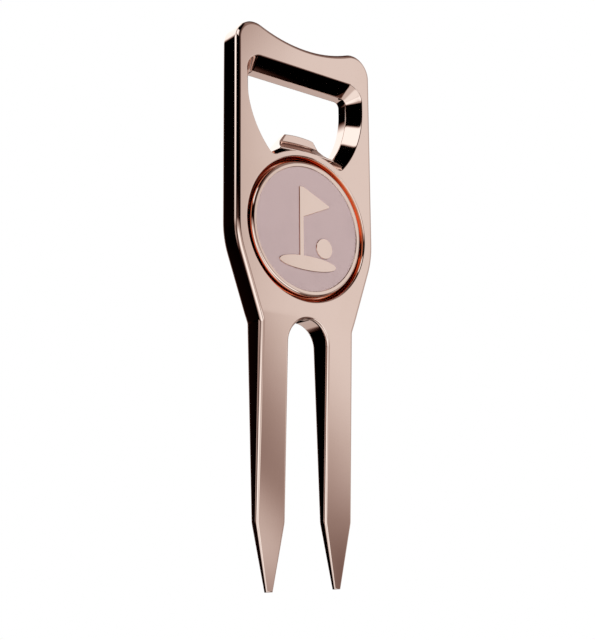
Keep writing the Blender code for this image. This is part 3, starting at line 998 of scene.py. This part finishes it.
def make_glue_finish():
    material, tree, shader = new_material("cured_epoxy", 0.0, 0.3)
    haze = place_group(tree, haze_group, Scale=400.0, Amount=1.0)
    feed(tree, shader, "Base Color", blend_colours(
        tree, haze.outputs["Mask"], (0.720, 0.660, 0.500), (0.640, 0.560, 0.380)))
    rough = math_node(tree, "MULTIPLY_ADD", haze.outputs["Mask"], 0.20, 0.25)
    feed(tree, shader, "Roughness", rough)
    return material


cad_finishes = {"seat_magnet": make_nickel_finish(), "magnet_adhesive": make_glue_finish()}
for node_name, finish in cad_finishes.items():
    for slot in frame["nodes"][node_name].material_slots:
        slot.material = finish
print("finishes:", [m.name for m in bpy.data.materials if m.users])

# %% [markdown]
# ## The camera
# The tool is seen from its left and a little from below, from about twice its own length away, so
# the near edge is clearly larger than the far one. The place is measured from the seat's centre.

# %% Place the camera
CAMERA_FROM_SEAT = Vector((-0.11441, -0.14355, -0.05240))
CAMERA_YAW = math.radians(38.58)
CAMERA_PITCH = math.radians(10.30)
CAMERA_ROLL = math.radians(-0.50)
CAMERA_LENS = 61.62
CAMERA_SHIFT = (-0.0063, 0.0307)


def make_camera():
    data = bpy.data.cameras.new("studio_camera")
    data.lens = CAMERA_LENS
    data.sensor_width = 36.0
    data.shift_x, data.shift_y = CAMERA_SHIFT
    data.clip_start = 0.001
    camera = bpy.data.objects.new("studio_camera", data)
    bpy.context.scene.collection.objects.link(camera)
    yaw = Matrix.Rotation(-CAMERA_YAW, 4, "Z")
    pitch = Matrix.Rotation(math.pi / 2 + CAMERA_PITCH, 4, "X")
    roll = Matrix.Rotation(CAMERA_ROLL, 4, "Z")
    place = Matrix.Translation(Vector((0, 0, SEAT_Z)) + CAMERA_FROM_SEAT)
    camera.matrix_world = place @ (yaw @ pitch @ roll)
    return camera


bpy.context.scene.camera = make_camera()
print("camera at", [round(c, 4) for c in bpy.context.scene.camera.matrix_world.translation])

# %% [markdown]
# ## The studio
# A mirror shows its surroundings, so the surroundings are designed like any other part. A real
# studio hangs softboxes and black cards around such a tool. Softboxes could be lamps or glowing
# planes. Here they are soft patches painted on the world's sphere, which is the same as very large
# boxes far away, and each is one line of numbers: where it hangs, how big it is, how soft its edge
# is and how bright.
#
# Azimuth is measured from the front towards the tool's left, and elevation up from the horizon.

# %% A node group that is one softbox
def make_softbox_group():
    """Brightness of one softbox for a direction, with its own tilt and feathered edges."""
    group, given, result = new_group("softbox", [
        ("Azimuth", 0.0), ("Elevation", 0.0), ("Centre Azimuth", 0.0), ("Centre Elevation", 0.0),
        ("Half Width", 0.5), ("Half Height", 0.5), ("Side Feather", 0.1), ("End Feather", 0.1),
        ("Slant", 0.0), ("Brightness", 1.0)], ["Light"])
    away = math_node(group, "SUBTRACT", given.outputs["Azimuth"], given.outputs["Centre Azimuth"])
    across = math_node(group, "WRAP", away, math.pi, -math.pi)
    slanted = math_node(group, "MULTIPLY", across, given.outputs["Slant"])
    level = math_node(
        group, "SUBTRACT", given.outputs["Elevation"], given.outputs["Centre Elevation"])
    up = math_node(group, "SUBTRACT", level, slanted)
    sides = ((across, "Half Width", "Side Feather"), (up, "Half Height", "End Feather"))
    masks = []
    for offset, half, feather in sides:
        distance = math_node(group, "ABSOLUTE", offset)
        edge = math_node(group, "SUBTRACT", distance, given.outputs[half])
        share = math_node(group, "DIVIDE", edge, given.outputs[feather])
        masks.append(smooth_range(group, share, -0.5, 0.5, 1.0, 0.0))
    mask = math_node(group, "MULTIPLY", masks[0], masks[1])
    feed(group, result, "Light", math_node(group, "MULTIPLY", mask, given.outputs["Brightness"]))
    return group


softbox_group = make_softbox_group()

# %% Hang the softboxes
# Name, then in degrees centre azimuth, centre elevation, half width, half height, side feather and
# end feather, then slant and brightness.
SOFTBOXES = [
    ("main", -47, 15, 15, 18, 15, 11, -0.41, 0.77),
    ("main_low", -46, -17, 35, 21, 1, 19, -0.21, 0.18),
    ("right_wall", -96, 10, 40, 33, 7, 11, 0.15, 0.52),
    ("low_front", 14, 5, 50, 9, 1, 7, 0.03, 0.48),
    ("low_front_core", 40, -6, 25, 16, 18, 15, -0.06, 1.08),
    ("low_front_right", -14, -12, 19, 16, 4, 22, -0.02, 1.10),
    ("floor_left", 42, -51, 33, 39, 49, 31, 0.09, 0.94),
    ("floor_glow", -5, -69, 50, 19, 10, 13, 0.01, 0.62),
    ("left_strip", 106, 27, 23, 13, 21, 33, 0.02, 1.25),
    ("left_grey", 114, 2, 16, 9, 4, 20, 0.09, 0.42),
    ("left_brown", 87, 2, 18, 1, 9, 9, -0.12, 0.07),
    ("upper_left", 64, 47, 34, 10, 43, 3, 0.22, 1.12),
    ("upper_right", -41, 57, 26, 26, 32, 7, -0.37, 0.25),
    ("back_top", 171, 52, 50, 24, 14, 11, -0.19, 1.12),
    ("back_right", -144, 28, 52, 15, 46, 23, 0.40, 0.28),
    ("back_low", -139, -37, 56, 16, 9, 4, -0.29, 0.54),
]
# Azimuth and elevation of the dark band's middle, its slope, its reach above and below in degrees,
# and the share of the light that is left in it. It fades out at two azimuths.
DARK_BAND = (-36.868, -0.299, 1.149, 10.35, 4.59, 0.445)
BAND_FROM = -30
BAND_TO = -60
BAND_FADE = 12
# Gain and power for red, green and blue: dim light is warmer than bright light.
WARMTH = ((1.00, 1.00), (1.07, 1.25), (1.08, 1.33))
BACKDROP = 1.0


# %% Read a direction, and take the brightest softbox in it
def look_direction(tree):
    """Azimuth and elevation of the direction that the world is seen in."""
    place = add_node(tree, "ShaderNodeTexCoord")
    split = add_node(tree, "ShaderNodeSeparateXYZ")
    feed(tree, split, 0, place.outputs["Generated"])
    left = math_node(tree, "MULTIPLY", split.outputs["X"], -1.0)
    front = math_node(tree, "MULTIPLY", split.outputs["Y"], -1.0)
    azimuth = math_node(tree, "ARCTAN2", left, front)
    elevation = math_node(tree, "ARCSINE", split.outputs["Z"])
    return azimuth, elevation


def hang_softboxes(tree, azimuth, elevation):
    """The brightest softbox in each direction."""
    total = 0.0
    sockets = ("Centre Azimuth", "Centre Elevation", "Half Width", "Half Height",
               "Side Feather", "End Feather")
    for name, *angles, slant, brightness in SOFTBOXES:
        box = place_group(tree, softbox_group, Azimuth=azimuth, Elevation=elevation)
        box.label = name
        for socket, angle in zip(sockets, angles):
            box.inputs[socket].default_value = math.radians(angle)
        box.inputs["Slant"].default_value = slant
        box.inputs["Brightness"].default_value = brightness
        total = math_node(tree, "MAXIMUM", box.outputs["Light"], total)
    return total


def darken_band(tree, light, azimuth, elevation):
    """A dark stripe that crosses the prongs at a slant, soft above and sharper below."""
    band_azimuth, band_elevation, slope, above, below, least = DARK_BAND
    from_band = math_node(tree, "SUBTRACT", azimuth, math.radians(band_azimuth))
    middle = math_node(tree, "MULTIPLY_ADD", from_band, slope, math.radians(band_elevation))
    away = math_node(tree, "SUBTRACT", elevation, middle)
    over = math_node(tree, "DIVIDE", away, math.radians(above))
    under = math_node(tree, "DIVIDE", away, -math.radians(below))
    kept = smooth_range(tree, math_node(tree, "MAXIMUM", over, under), 0.0, 1.0, least, 1.0)
    for outer, inner in ((BAND_FROM, BAND_FROM + BAND_FADE), (-BAND_TO, BAND_FADE - BAND_TO)):
        side = azimuth if outer == BAND_FROM else math_node(tree, "MULTIPLY", azimuth, -1.0)
        beside = smooth_range(tree, side, math.radians(outer), math.radians(inner))
        kept = math_node(tree, "MAXIMUM", kept, beside)
    return math_node(tree, "MULTIPLY", light, kept)


# %% Build the world: softboxes for the metal, and a plain backdrop for the camera
def make_world():
    world = bpy.data.worlds.new("studio")
    bpy.context.scene.world = world
    world.use_nodes = True
    tree = world.node_tree
    tree.nodes.clear()
    azimuth, elevation = look_direction(tree)
    light = hang_softboxes(tree, azimuth, elevation)
    light = darken_band(tree, light, azimuth, elevation)
    colour = add_node(tree, "ShaderNodeCombineColor")
    for channel, (gain, power) in enumerate(WARMTH):
        curved = math_node(tree, "POWER", light, power)
        feed(tree, colour, channel, math_node(tree, "MULTIPLY", curved, gain))
    studio = add_node(tree, "ShaderNodeBackground")
    feed(tree, studio, "Color", colour.outputs[0])
    backdrop = add_node(tree, "ShaderNodeBackground")
    feed(tree, backdrop, "Color", (BACKDROP, BACKDROP, BACKDROP, 1.0))
    path = add_node(tree, "ShaderNodeLightPath")
    choose = add_node(tree, "ShaderNodeMixShader")
    feed(tree, choose, 0, path.outputs["Is Camera Ray"])
    feed(tree, choose, 1, studio.outputs[0])
    feed(tree, choose, 2, backdrop.outputs[0])
    feed(tree, add_node(tree, "ShaderNodeOutputWorld"), "Surface", choose.outputs[0])
    return world


make_world()
bpy.context.scene.view_settings.view_transform = "Standard"
print("softboxes:", [box[0] for box in SOFTBOXES])

# %% [markdown]
# ## Floor and fill
# The floor is plain and pale, and it stays as pale as the backdrop, so no horizon cuts the picture.
# It doesn't show in the metal. The fill lamp does the opposite of a softbox: it lights only matt
# things such as the enamel, and the metal doesn't see it.

# %% Lay the floor and hang the fill lamp
FLOOR_HALF = 1.5
FLOOR_Z = -0.0001
FLOOR_COLOUR = (0.85, 0.84, 0.83, 1.0)
FILL_POWER = 1.2
FILL_SIZE = 0.25
FILL_PLACE = (0.10, -0.40, SEAT_Z + 0.15)


def make_floor():
    bm = bmesh.new()
    bmesh.ops.create_grid(bm, x_segments=4, y_segments=4, size=FLOOR_HALF)
    floor = object_from(bm, "floor")
    floor.location.z = FLOOR_Z
    material, tree, shader = new_material("pale_floor", 0.0, 0.9)
    shader.inputs["Base Color"].default_value = FLOOR_COLOUR
    glow = add_node(tree, "ShaderNodeEmission")
    glow.inputs["Color"].default_value = (BACKDROP, BACKDROP, BACKDROP, 1.0)
    path = add_node(tree, "ShaderNodeLightPath")
    choose = add_node(tree, "ShaderNodeMixShader")
    feed(tree, choose, 0, path.outputs["Is Camera Ray"])
    feed(tree, choose, 1, shader.outputs[0])
    feed(tree, choose, 2, glow.outputs[0])
    output = next(node for node in tree.nodes if node.type == "OUTPUT_MATERIAL")
    feed(tree, output, "Surface", choose.outputs[0])
    floor.data.materials.append(material)
    floor.visible_glossy = False
    return floor


def make_fill():
    data = bpy.data.lights.new("fill", "AREA")
    data.energy = FILL_POWER
    data.size = FILL_SIZE
    lamp = bpy.data.objects.new("fill", data)
    bpy.context.scene.collection.objects.link(lamp)
    lamp.location = FILL_PLACE
    aim = Vector((0, 0, SEAT_Z)) - lamp.location
    lamp.rotation_euler = aim.to_track_quat("-Z", "Y").to_euler()
    lamp.visible_glossy = False
    lamp.visible_camera = False
    return lamp


make_floor()
make_fill()
